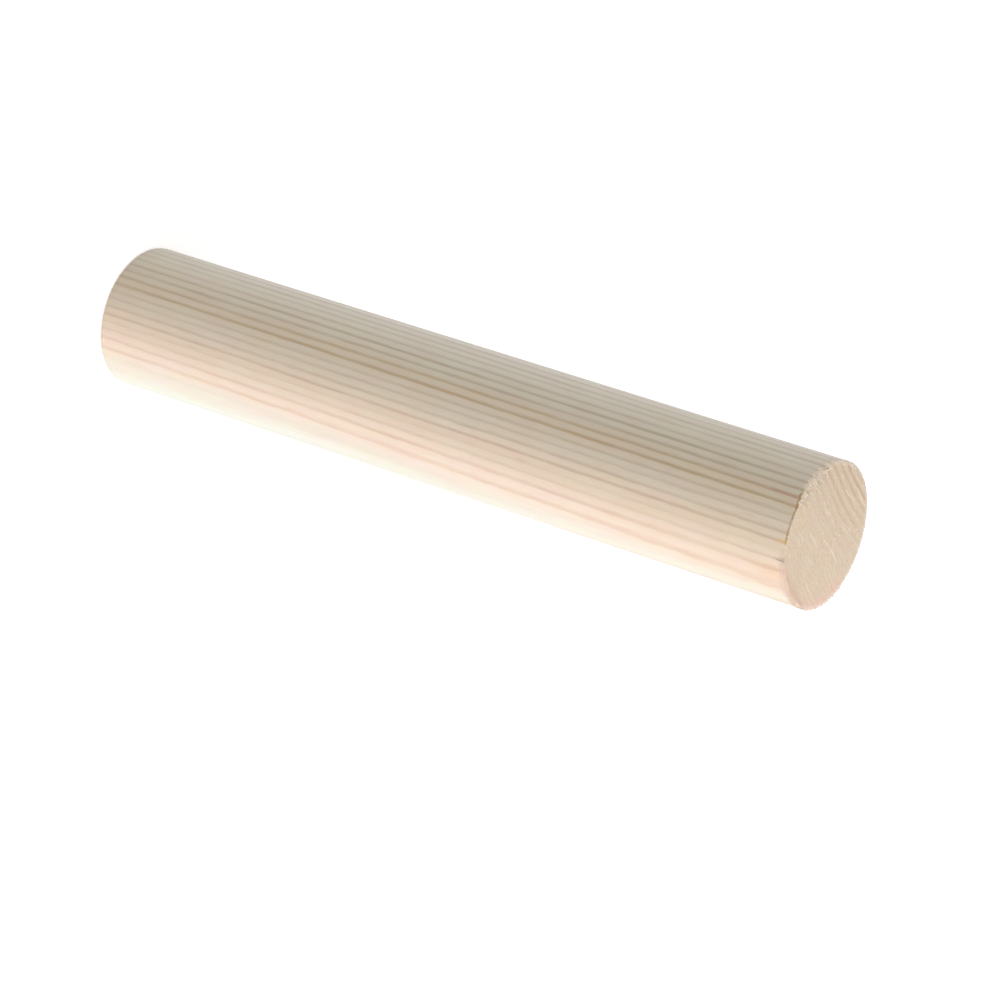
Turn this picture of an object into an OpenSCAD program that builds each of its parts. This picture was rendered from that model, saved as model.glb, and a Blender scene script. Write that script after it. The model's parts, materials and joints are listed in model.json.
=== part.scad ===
// Wooden dowel rod: one round softwood rod, sawn square at both ends.
// Sizes are in millimetres. The rod stands on its foot end: the origin is the
// middle of the foot face, +Z runs along the rod to the head end, and -Y is the
// front, from which angles round the rod are counted towards +X.

/* [Rod] */
// Diameter of the round rod
rod_diameter = 28; // [6:0.5:80]
// Length over the two sawn ends
rod_length = 160; // [40:1:1000]

/* [Sawn ends] */
// Radius of the softened edge round the foot face
foot_edge_radius = 0.3; // [0.1:0.05:1]
// Radius of the softened edge round the head face
head_edge_radius = 0.3; // [0.1:0.05:1]

/* [Splinter notch in the head edge] */
// Length of the notch, down the grain from the head face
notch_length = 2.4; // [1:0.1:8]
// Width of the notch where it meets the head face
notch_width = 0.8; // [0.3:0.1:2]
// Width of the notch where it starts on the rod's side
notch_start_width = 0.3; // [0.1:0.05:1]
// Depth of the notch where it meets the head face
notch_depth = 0.5; // [0.2:0.1:1.5]
// Angle of the notch round the rod, from the front
notch_angle = 28; // [-180:1:180]

/* [Hidden] */
$fn = 128;
wood_colour = [0.91, 0.83, 0.72];
rod_radius = rod_diameter / 2;
notch_slope = atan2(notch_depth, notch_length);
// How far the notch's cutter stands out past the faces that it opens through
cut_past = 1;

// Half of the rod's lengthwise section, with a quarter round at each sawn end
module rod_section() {
    translate([0, foot_edge_radius])
        square([rod_radius, rod_length - foot_edge_radius - head_edge_radius]);
    square([rod_radius - foot_edge_radius, foot_edge_radius]);
    translate([rod_radius - foot_edge_radius, foot_edge_radius])
        circle(foot_edge_radius);
    translate([0, rod_length - head_edge_radius])
        square([rod_radius - head_edge_radius, head_edge_radius]);
    translate([rod_radius - head_edge_radius, rod_length - head_edge_radius])
        circle(head_edge_radius);
}

// Half of the notch's outline, as laid on the rod's side with its start at the
// origin and the head face at notch_length
module notch_half_outline() {
    polygon([
        [0, -cut_past],
        [notch_start_width / 2, -cut_past],
        [notch_start_width / 2, 0],
        [notch_width / 2, notch_length],
        [notch_width / 2, notch_length + cut_past],
        [0, notch_length + cut_past]
    ]);
}

// What the lost splinter leaves out: a sloping cut that runs in from the rod's
// side and grows in width and depth up to the head face
module splinter_cutter() {
    rotate([0, 0, notch_angle])
        translate([0, -rod_radius, rod_length - notch_length])
            rotate([90 - notch_slope, 0, 0])
                linear_extrude(height = notch_depth + cut_past) {
                    notch_half_outline();
                    mirror([1, 0]) notch_half_outline();
                }
}

module dowel_rod() {
    color(wood_colour)
        difference() {
            rotate_extrude() rod_section();
            splinter_cutter();
        }
}

dowel_rod();
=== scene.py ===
"""A softwood dowel rod, standing on its sawn foot on a pale studio floor.

The wood is one solid texture: the growth rings, fibres and resin canals are fields in the
rod's own space, so the lines on the side run on into the bands on the sawn faces. The rod is
grown by a Geometry Nodes tree from its measured sizes, and its relief follows the same rings
as its colour. Lengths are in metres, unless a name ends in _mm or its class says so, and angles
round the rod are in degrees from its front, -Y, towards +X.
"""

import json
import logging
import math
import random
from dataclasses import dataclass
from enum import Enum

import bmesh
import bpy
from mathutils import Matrix, Vector


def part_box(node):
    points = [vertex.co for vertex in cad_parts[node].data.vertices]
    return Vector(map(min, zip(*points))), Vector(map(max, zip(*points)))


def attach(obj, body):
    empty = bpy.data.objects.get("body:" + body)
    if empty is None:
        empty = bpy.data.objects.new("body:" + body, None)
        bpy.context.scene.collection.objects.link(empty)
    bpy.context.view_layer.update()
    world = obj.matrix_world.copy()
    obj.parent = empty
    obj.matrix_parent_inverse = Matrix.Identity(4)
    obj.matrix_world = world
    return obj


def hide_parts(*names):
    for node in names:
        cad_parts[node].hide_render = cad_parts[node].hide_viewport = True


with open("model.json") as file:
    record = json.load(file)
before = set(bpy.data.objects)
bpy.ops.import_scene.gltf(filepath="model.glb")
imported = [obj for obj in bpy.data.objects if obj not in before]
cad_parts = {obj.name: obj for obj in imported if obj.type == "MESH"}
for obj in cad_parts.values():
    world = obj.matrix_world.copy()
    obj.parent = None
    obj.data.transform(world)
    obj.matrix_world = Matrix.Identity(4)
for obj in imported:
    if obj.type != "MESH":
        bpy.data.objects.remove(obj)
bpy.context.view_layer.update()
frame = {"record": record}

log = logging.getLogger("dowel_rod")

MM = 0.001
NODE = "dowel_rod"
BODY = "root"
BAKE_MAP = "OFBake"
FULL_TURN_DEG = 360.0
# How much of a pink patch's change in green shows in blue as well.
PINK_IN_BLUE = 0.6

Socket = bpy.types.NodeSocket
Tree = bpy.types.NodeTree
Value = Socket | float | int | bool | str | tuple[float, ...] | bpy.types.ID
Colour = tuple[float, float, float]
# A mask's two ends: the value at which it is 0, and the one at which it is 1.
Fade = tuple[float, float]
# A change's two ends, and what it gives at each of them.
Slope = tuple[float, float, float, float]

FLOAT = "NodeSocketFloat"
VECTOR = "NodeSocketVector"
SHAPE = "NodeSocketGeometry"


def srgb(red: int, green: int, blue: int) -> Colour:
    """Returns a colour, given as it looks on a screen from 0 to 255, in linear light."""
    parts = (channel / 255 for channel in (red, green, blue))
    return tuple(c / 12.92 if c <= 0.04045 else ((c + 0.055) / 1.055) ** 2.4 for c in parts)


def placed(name: str, data: bpy.types.ID) -> bpy.types.Object:
    """Places a new object in the scene.

    Args:
        name: The object's name.
        data: Its mesh, lamp or camera.

    Returns:
        The object.
    """
    piece = bpy.data.objects.new(name, data)
    bpy.context.scene.collection.objects.link(piece)
    return piece


class TreeKind(Enum):
    """The two kinds of node tree that share the wood's fields."""

    SHADER = "ShaderNodeTree"
    GEOMETRY = "GeometryNodeTree"


@dataclass(frozen=True)
class Grain:
    """How coarse a noise is: the size of its features, in mm, and how finely they break up.

    A feature is across in X, along in Z, and third in Y, where that differs from X.
    """

    across: float
    along: float
    third: float | None = None
    detail: float = 2.0
    rough: float = 0.5


@dataclass(frozen=True)
class Span:
    """Where something shows: from first to last, fading out over soft beyond them."""

    first: float
    last: float
    soft: float


@dataclass
class Graph:
    """Adds nodes to one tree. An input is given as a socket, which is linked, or as a number."""

    tree: Tree

    @classmethod
    def group(
        cls, name: str, kind: TreeKind, inputs: dict[str, str], outputs: dict[str, str]
    ) -> tuple["Graph", bpy.types.Node, bpy.types.Node]:
        """Starts a node group.

        Args:
            name: The group's name.
            kind: Whether it serves materials or geometry.
            inputs: Each input's name and socket type.
            outputs: Each output's name and socket type.

        Returns:
            The graph, its input node and its output node.
        """
        tree = bpy.data.node_groups.new(name, kind.value)
        for side, sockets in (("INPUT", inputs), ("OUTPUT", outputs)):
            for label, socket_type in sockets.items():
                tree.interface.new_socket(label, in_out=side, socket_type=socket_type)
        graph = cls(tree)
        return graph, graph.add("NodeGroupInput"), graph.add("NodeGroupOutput")

    def add(
        self, kind: str, values: dict[str | int, Value] | None = None, **settings: object
    ) -> bpy.types.Node:
        """Adds a node.

        Args:
            kind: The node's type name.
            values: What each input gets, by its name or place.
            settings: The node's own properties.

        Returns:
            The node.
        """
        node = self.tree.nodes.new(kind)
        for name, setting in settings.items():
            setattr(node, name, setting)
        for key, value in (values or {}).items():
            self.feed(node.inputs[key], value)
        return node

    def feed(self, socket: Socket, value: Value) -> None:
        """Links a socket to the value, or sets the value on it.

        Args:
            socket: The input.
            value: What it gets: another node's output, or a constant.
        """
        if isinstance(value, Socket):
            self.tree.links.new(value, socket)
        else:
            socket.default_value = value

    def use(self, group: Tree, place: Socket) -> dict[str, Socket]:
        """Places a node group.

        Args:
            group: The group.
            place: What its only input gets: a place, as a rule.

        Returns:
            The group's outputs by name.
        """
        kind = "ShaderNodeGroup" if group.bl_idname == TreeKind.SHADER.value else "GeometryNodeGroup"
        node = self.tree.nodes.new(kind)
        node.node_tree = group
        self.feed(node.inputs[0], place)
        return {socket.name: socket for socket in node.outputs}

    def math(self, operation: str, *values: Value) -> Socket:
        """Returns the result of a Math node."""
        return self.add("ShaderNodeMath", dict(enumerate(values)), operation=operation).outputs[0]

    def plus(self, first: Value, second: Value) -> Socket:
        """Returns the sum of two numbers."""
        return self.math("ADD", first, second)

    def minus(self, first: Value, second: Value) -> Socket:
        """Returns the first number less the second."""
        return self.math("SUBTRACT", first, second)

    def times(self, first: Value, *others: Value) -> Socket:
        """Multiplies numbers.

        Args:
            first: The first number.
            others: The others.

        Returns:
            Their product.
        """
        product = first
        for other in others:
            product = self.math("MULTIPLY", product, other)
        return product

    def blend(self, value: Value, factor: Value, base: Value) -> Socket:
        """Returns value times factor, plus base."""
        return self.math("MULTIPLY_ADD", value, factor, base)

    def stretched(self, vector: Value, across: float, along: float, third: float | None = None) -> Socket:
        """Returns a place divided by a pattern's size across, along Z, and in Y if it differs."""
        sizes = (1 / across, 1 / (third or across), 1 / along)
        return self.add("ShaderNodeVectorMath", {0: vector, 1: sizes}, operation="MULTIPLY").outputs[0]

    def scaled(self, vector: Value, factor: Value) -> Socket:
        """Returns a vector times a number."""
        node = self.add("ShaderNodeVectorMath", {"Vector": vector, "Scale": factor}, operation="SCALE")
        return node.outputs[0]

    def shifted(self, vector: Value, by: Value) -> Socket:
        """Returns the sum of two vectors."""
        return self.add("ShaderNodeVectorMath", {0: vector, 1: by}, operation="ADD").outputs[0]

    def flat_length(self, x: Value, y: Value) -> Socket:
        """Returns the distance from the axis of a place that lies x and y away."""
        return self.math("SQRT", self.blend(x, x, self.times(y, y)))

    def split(self, vector: Value) -> tuple[Socket, Socket, Socket]:
        """Returns the X, Y and Z of a vector."""
        return tuple(self.add("ShaderNodeSeparateXYZ", {0: vector}).outputs[:3])

    def joined(self, x: Value, y: Value, z: Value) -> Socket:
        """Returns a vector with these parts."""
        return self.add("ShaderNodeCombineXYZ", {0: x, 1: y, 2: z}).outputs[0]

    def ramp(self, value: Value, start: Value, end: Value, low: Value = 0.0, high: Value = 1.0) -> Socket:
        """Returns a straight ramp from low, where value is start, to high, where it is end."""
        return self.add("ShaderNodeMapRange", {0: value, 1: start, 2: end, 3: low, 4: high}).outputs[0]

    def step(self, value: Value, start: Value, end: Value, low: Value = 0.0, high: Value = 1.0) -> Socket:
        """Returns a smooth step from low, where value is start, to high, where it is end."""
        values = {0: value, 1: start, 2: end, 3: low, 4: high}
        return self.add("ShaderNodeMapRange", values, interpolation_type="SMOOTHSTEP").outputs[0]

    def within(self, value: Value, span: Span) -> Socket:
        """Marks a span of values.

        Args:
            value: The value.
            span: The span.

        Returns:
            1 where the value lies in the span, fading to 0 beyond it.
        """
        middle, half = (span.first + span.last) / 2, (span.last - span.first) / 2
        away = self.math("ABSOLUTE", self.minus(value, middle))
        return self.step(away, half + span.soft, half)

    def noise(self, vector: Value, detail: float = 2.0, rough: float = 0.5) -> Socket:
        """Returns smooth noise about 0, with features about one unit of the vector apart."""
        values = {"Vector": vector, "Scale": 1.0, "Detail": detail, "Roughness": rough}
        return self.minus(self.add("ShaderNodeTexNoise", values).outputs[0], 0.5)

    def grain(self, place_mm: Value, size: Grain) -> Socket:
        """Returns smooth noise about 0, with features of the given size."""
        stretched = self.stretched(place_mm, size.across, size.along, size.third)
        return self.noise(stretched, size.detail, size.rough)

    def wander(self, vector: Value, scale: float = 1.0) -> Socket:
        """Makes a vector that wanders smoothly from place to place.

        Args:
            vector: The place.
            scale: How many times it changes over one unit of the place.

        Returns:
            The vector, about 0.
        """
        values = {"Vector": vector, "Scale": scale, "Detail": 1.0}
        colour = self.add("ShaderNodeTexNoise", values).outputs[1]
        middle = (0.5, 0.5, 0.5)
        return self.add("ShaderNodeVectorMath", {0: colour, 1: middle}, operation="SUBTRACT").outputs[0]

    def curve(self, value: Value, points: list[tuple[float, float]]) -> Socket:
        """Reads a value off straight lines through some points.

        Args:
            value: Where to read, from 0 to 1.
            points: The points, in order, each from 0 to 1 both ways.

        Returns:
            The height of the lines there.
        """
        node = self.add("ShaderNodeFloatCurve", {1: value})
        line = node.mapping.curves[0].points
        line[0].location, line[1].location = points[0], points[-1]
        for x, y in points[1:-1]:
            line.new(x, y)
        for point in line:
            point.handle_type = "VECTOR"
        node.mapping.update()
        return node.outputs[0]

    def mixed(self, share: Value, first: Value, second: Value, how: str = "MIX") -> Socket:
        """Mixes two colours, given as sockets or as linear red, green and blue.

        Args:
            share: How much of the second colour there is.
            first: The first colour.
            second: The second colour.
            how: How the second acts on the first.

        Returns:
            The mixed colour.
        """
        node = self.add("ShaderNodeMix", {0: share}, data_type="RGBA", blend_type=how)
        for socket, colour in zip(node.inputs[6:8], (first, second)):
            self.feed(socket, colour if isinstance(colour, Socket) else (*colour, 1.0))
        return node.outputs[2]

    def multiplied(self, colour: Value, other: Value) -> Socket:
        """Returns the product of two colours."""
        return self.mixed(1.0, colour, other, "MULTIPLY")

    def laid(self, colour: Value, mask: Value, share: float, over: Value) -> Socket:
        """Returns a colour with another laid over it, as strongly as share, where a mask shows."""
        return self.mixed(self.times(mask, share), colour, over)

    def varied(self, colour: Value, pink: Socket, yellow: Socket, much: float) -> Socket:
        """Makes a colour a little pinker and yellower in patches.

        Args:
            colour: The colour.
            pink: The pinkish patches, about 0.
            yellow: The yellowish patches, about 0.
            much: How strongly the patches show.

        Returns:
            The new colour.
        """
        green = self.blend(pink, -much, 1.0)
        blue = self.blend(pink, -PINK_IN_BLUE * much, self.blend(yellow, -much, 1.0))
        return self.multiplied(colour, self.joined(1.0, green, blue))

    def shaded(self, colour: Value, shade: Socket) -> Socket:
        """Returns a colour times a grey."""
        return self.multiplied(colour, self.joined(shade, shade, shade))

    def chosen(self, test: Socket, if_not: Socket, if_so: Socket) -> Socket:
        """Returns one of two numbers."""
        return self.add("ShaderNodeMix", {0: test, 2: if_not, 3: if_so}, data_type="FLOAT").outputs[0]

    def chance(self, low: float, high: float, seed: int) -> Socket:
        """Draws a random number for each point, in a geometry tree.

        Args:
            low: The least.
            high: The most.
            seed: The draw's fixed seed.

        Returns:
            The numbers.
        """
        node = self.add("FunctionNodeRandomValue", data_type="FLOAT")
        values = {"Min": low, "Max": high, "Seed": seed}
        for socket in node.inputs:
            if socket.enabled and socket.name in values:
                self.feed(socket, values[socket.name])
        return next(socket for socket in node.outputs if socket.enabled)

    def moved(self, mesh: Socket, **values: Socket) -> Socket:
        """Returns a geometry whose points are put at Position or moved by Offset."""
        return self.add("GeometryNodeSetPosition", {"Geometry": mesh, **values}).outputs[0]

    def dressed(self, mesh: Socket, material: bpy.types.Material, **values: Socket) -> Socket:
        """Returns a geometry with a material, on its Selection or on all of it."""
        values = {"Geometry": mesh, **values, "Material": material}
        return self.add("GeometryNodeSetMaterial", values).outputs[0]

    def gives(self, end: bpy.types.Node, **sockets: Socket) -> Tree:
        """Finishes a group.

        Args:
            end: The group's output node.
            sockets: What each named output gives.

        Returns:
            The group.
        """
        for name, socket in sockets.items():
            self.feed(end.inputs[name], socket)
        return self.tree


@dataclass(frozen=True)
class Sizes:
    """The rod's sizes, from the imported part."""

    radius: float
    length: float
    edge: float

    @classmethod
    def from_frame(cls) -> "Sizes":
        """Reads the rod's sizes from the frame, with the edge as what the shaft leaves at each end.

        Returns:
            The sizes.
        """
        low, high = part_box(NODE)
        length = high.z - low.z
        shaft = next(mount for mount in frame["record"]["mounts"] if mount["name"] == "shaft")
        edge = (length - shaft["dims"]["length_mm"] * MM) / 2
        return cls(radius=shaft["dims"]["r_mm"] * MM, length=length, edge=edge)


@dataclass(frozen=True)
class GrowthRing:
    """One year's growth: how wide it is, and how dark its latewood line is, from 0 to 1."""

    width_mm: float
    tone: float


RINGS = (
    GrowthRing(1.60, 0.40),
    GrowthRing(1.60, 0.25),
    GrowthRing(1.45, 0.22),
    GrowthRing(1.65, 0.32),
    GrowthRing(1.60, 0.55),
    GrowthRing(1.90, 0.65),
    GrowthRing(1.50, 0.42),
    GrowthRing(1.90, 0.50),
    GrowthRing(1.75, 0.70),
    GrowthRing(1.75, 0.60),
    GrowthRing(1.70, 0.68),
    GrowthRing(1.70, 0.85),
    GrowthRing(1.60, 0.42),
    GrowthRing(1.30, 0.34),
    GrowthRing(1.50, 0.48),
    GrowthRing(1.30, 0.60),
    GrowthRing(1.10, 0.12),
    GrowthRing(1.00, 0.34),
    GrowthRing(1.10, 0.50),
    GrowthRing(1.10, 0.48),
    GrowthRing(0.80, 0.15),
    GrowthRing(1.20, 0.30),
)


@dataclass(frozen=True)
class Timber:
    """The wood as it grew: where its rings lie in the rod, and how its fibres run.

    The rings are arcs round a pith outside the rod. Each field is a node group that takes a
    place in metres, and the same fields serve the materials and the rod's relief. A latewood
    line is given in parts of a year, about the place where it is darkest.
    """

    rings: tuple[GrowthRing, ...] = RINGS
    reach_mm: float = 17.0
    pith_distance_mm: float = 110.0
    growth_angle_deg: float = -25.0
    slope: float = 0.0078
    mid_height_mm: float = 80.0
    wander: Grain = Grain(9.0, 75.0, detail=1.0)
    wander_mm: float = 0.4
    ripple: Grain = Grain(2.4, 16.0)
    ripple_mm: float = 0.18
    kink: Grain = Grain(1.2, 4.2, detail=1.0)
    kink_mm: float = 0.22
    line_rise: Fade = (-0.42, 0.03)
    rise_power: float = 1.3
    line_fall: Fade = (0.26, 0.07)
    change: Grain = Grain(1.0, 14.0, detail=4.0, rough=0.7)
    change_share: float = 2.4
    usual_tone: float = 1.12
    foot_fade_mm: Slope = (5.0, 45.0, 0.8, 1.0)
    streaks: Grain = Grain(0.16, 5.0, detail=4.0, rough=0.6)
    bands: Grain = Grain(1.1, 40.0, detail=3.0)
    canals: Grain = Grain(1.3, 26.0)
    canal_edge: Fade = (0.08, 0.03)
    pink: Grain = Grain(2.3, 8.0, detail=3.0, rough=0.6)
    yellow: Grain = Grain(1.9, 9.0, detail=3.0, rough=0.6)
    yellow_shift_mm: tuple[float, float, float] = (31.0, 17.0, 53.0)

    @property
    def growth(self) -> tuple[float, float]:
        """The direction across the rod in which the tree grew outwards."""
        angle = math.radians(self.growth_angle_deg)
        return math.cos(angle), math.sin(angle)

    def line_marks(self) -> list[tuple[float, float]]:
        """Places the latewood lines across the rod.

        Returns:
            Each line's share of the reach, with its own number as a share of all of them.
        """
        marks = [(0.0, 0.0)]
        place_mm = -self.reach_mm
        for number, ring in enumerate(self.rings, start=1):
            place_mm += ring.width_mm
            share = (place_mm + self.reach_mm) * 0.5 / self.reach_mm
            if share < 1.0:
                marks.append((share, number / len(self.rings)))
        return [*marks, (1.0, 1.0)]

    def across(self, graph: Graph, place_mm: Socket) -> Socket:
        """Measures a place across the rings.

        Args:
            graph: The tree.
            place_mm: The place, in mm.

        Returns:
            How far it lies outwards from the rod's middle ring, in mm.
        """
        x, y, z = graph.split(place_mm)
        out_x, out_y = self.growth
        pith_x = graph.plus(x, out_x * self.pith_distance_mm)
        pith_y = graph.plus(y, out_y * self.pith_distance_mm)
        radius = graph.minus(graph.flat_length(pith_x, pith_y), self.pith_distance_mm)
        return graph.minus(radius, graph.times(graph.minus(z, self.mid_height_mm), self.slope))

    def ring_field(self, kind: TreeKind) -> Tree:
        """Builds the growth rings.

        Args:
            kind: The kind of tree that will use them.

        Returns:
            A group whose outputs are the latewood's darkness, the bare shape of its lines
            from 0 to 1, and the distance across the rings in mm.
        """
        outputs = {"Latewood": FLOAT, "Line": FLOAT, "Across": FLOAT}
        name = f"growth_rings_{kind.name.lower()}"
        graph, start, end = Graph.group(name, kind, {"Place": VECTOR}, outputs)
        place = graph.scaled(start.outputs["Place"], 1 / MM)
        wander = graph.grain(place, self.wander)
        ripple = graph.grain(place, self.ripple)
        kink = graph.grain(place, self.kink)
        bent = graph.blend(wander, self.wander_mm, self.across(graph, place))
        bent = graph.blend(ripple, self.ripple_mm, bent)
        across = graph.blend(kink, self.kink_mm, bent)
        order = graph.curve(graph.blend(across, 0.5 / self.reach_mm, 0.5), self.line_marks())
        count = len(self.rings)
        years = graph.times(order, float(count))
        beside = graph.minus(graph.math("FRACT", graph.plus(years, 0.5)), 0.5)
        rise = graph.math("POWER", graph.step(beside, *self.line_rise), self.rise_power)
        line = graph.times(rise, graph.step(beside, *self.line_fall))
        tones = [(i / count, ring.tone) for i, ring in enumerate(self.rings, start=1)]
        tone = graph.curve(order, [(0.0, self.rings[0].tone), *tones])
        change = graph.grain(place, self.change)
        _, _, height = graph.split(place)
        weak = graph.step(height, *self.foot_fade_mm)
        changed = graph.blend(change, self.change_share, self.usual_tone)
        latewood = graph.times(line, tone, changed, weak)
        return graph.gives(end, Latewood=latewood, Line=line, Across=across)

    def fibre_field(self, kind: TreeKind) -> Tree:
        """Builds the fine structure along the grain.

        Args:
            kind: The kind of tree that will use it.

        Returns:
            A group whose outputs are fine streaks, broad bands, pinkish patches and yellowish
            patches, all about 0, and the resin canals, from 0 to 1.
        """
        outputs = {"Streaks": FLOAT, "Bands": FLOAT, "Pink": FLOAT, "Yellow": FLOAT, "Canals": FLOAT}
        name = f"fibres_{kind.name.lower()}"
        graph, start, end = Graph.group(name, kind, {"Place": VECTOR}, outputs)
        place = graph.scaled(start.outputs["Place"], 1 / MM)
        streaks = graph.grain(place, self.streaks)
        bands = graph.grain(place, self.bands)
        spaced = graph.stretched(place, self.canals.across, self.canals.along)
        cells = graph.add("ShaderNodeTexVoronoi", {"Vector": spaced, "Scale": 1.0})
        canals = graph.step(cells.outputs["Distance"], *self.canal_edge)
        pink = graph.grain(place, self.pink)
        yellow = graph.grain(graph.shifted(place, self.yellow_shift_mm), self.yellow)
        return graph.gives(end, Streaks=streaks, Bands=bands, Pink=pink, Yellow=yellow, Canals=canals)


@dataclass(frozen=True)
class SplinterNotch:
    """The notch that a lost splinter left in the head's edge.

    It widens and deepens up to the head face, and its torn floor shelves up towards +X. The
    cutter stands out past the faces that it opens through.
    """

    angle_deg: float = 28.0
    length: float = 2.4 * MM
    start_width: float = 0.3 * MM
    end_width: float = 0.8 * MM
    depth: float = 0.5 * MM
    shelving: float = 0.7
    past: float = 1.0 * MM
    stations: int = 9
    fibres: int = 7
    torn: float = 0.07 * MM
    seed: int = 11

    def outline(self, share: float, rng: random.Random) -> list[tuple[float, float]]:
        """Returns the cut's outline at one station, each point as its place across and outwards.

        Args:
            share: How far along the notch the station is; past 1 it is beyond the head face.
            rng: Where the torn floor's unevenness comes from.

        Returns:
            The points, in order round the outline.
        """
        half = (self.start_width + (self.end_width - self.start_width) * share) / 2
        points = []
        for step in range(self.fibres):
            part = step / (self.fibres - 1)
            inner = 0 < step < self.fibres - 1
            uneven = rng.uniform(-self.torn, self.torn) * min(share, 1.0) if inner else 0.0
            floor = -self.depth * share * (1.0 - self.shelving * part)
            points.append((half * (2 * part - 1), floor + uneven))
        return [*points, (half, self.past), (-half, self.past)]

    def cutter(self, sizes: Sizes, material: bpy.types.Material) -> bpy.types.Object:
        """Builds the solid that the notch is cut with.

        Args:
            sizes: The rod's sizes.
            material: The finish of the torn faces.

        Returns:
            The cutter, a closed mesh in the rod's own place.
        """
        rng = random.Random(self.seed)
        angle = math.radians(self.angle_deg)
        out = Vector((math.sin(angle), -math.cos(angle), 0.0))
        beside = Vector((math.cos(angle), math.sin(angle), 0.0))
        work = bmesh.new()
        end_share = 1.0 + self.past / self.length
        rings = []
        for station in range(self.stations + 1):
            share = end_share * station / self.stations
            height = Vector((0.0, 0.0, sizes.length - self.length * (1.0 - share)))
            points = self.outline(share, rng)
            places = [beside * x + out * (sizes.radius + y) + height for x, y in points]
            rings.append([work.verts.new(place) for place in places])
        count = len(rings[0])
        for lower, upper in zip(rings, rings[1:]):
            for i in range(count):
                j = (i + 1) % count
                work.faces.new((lower[i], lower[j], upper[j], upper[i]))
        work.faces.new(rings[0])
        work.faces.new(rings[-1])
        bmesh.ops.recalc_face_normals(work, faces=work.faces)
        mesh = bpy.data.meshes.new("notch_cutter")
        work.to_mesh(mesh)
        work.free()
        mesh.materials.append(material)
        mesh.uv_layers.new(name=BAKE_MAP)
        return placed("notch_cutter", mesh)


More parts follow.
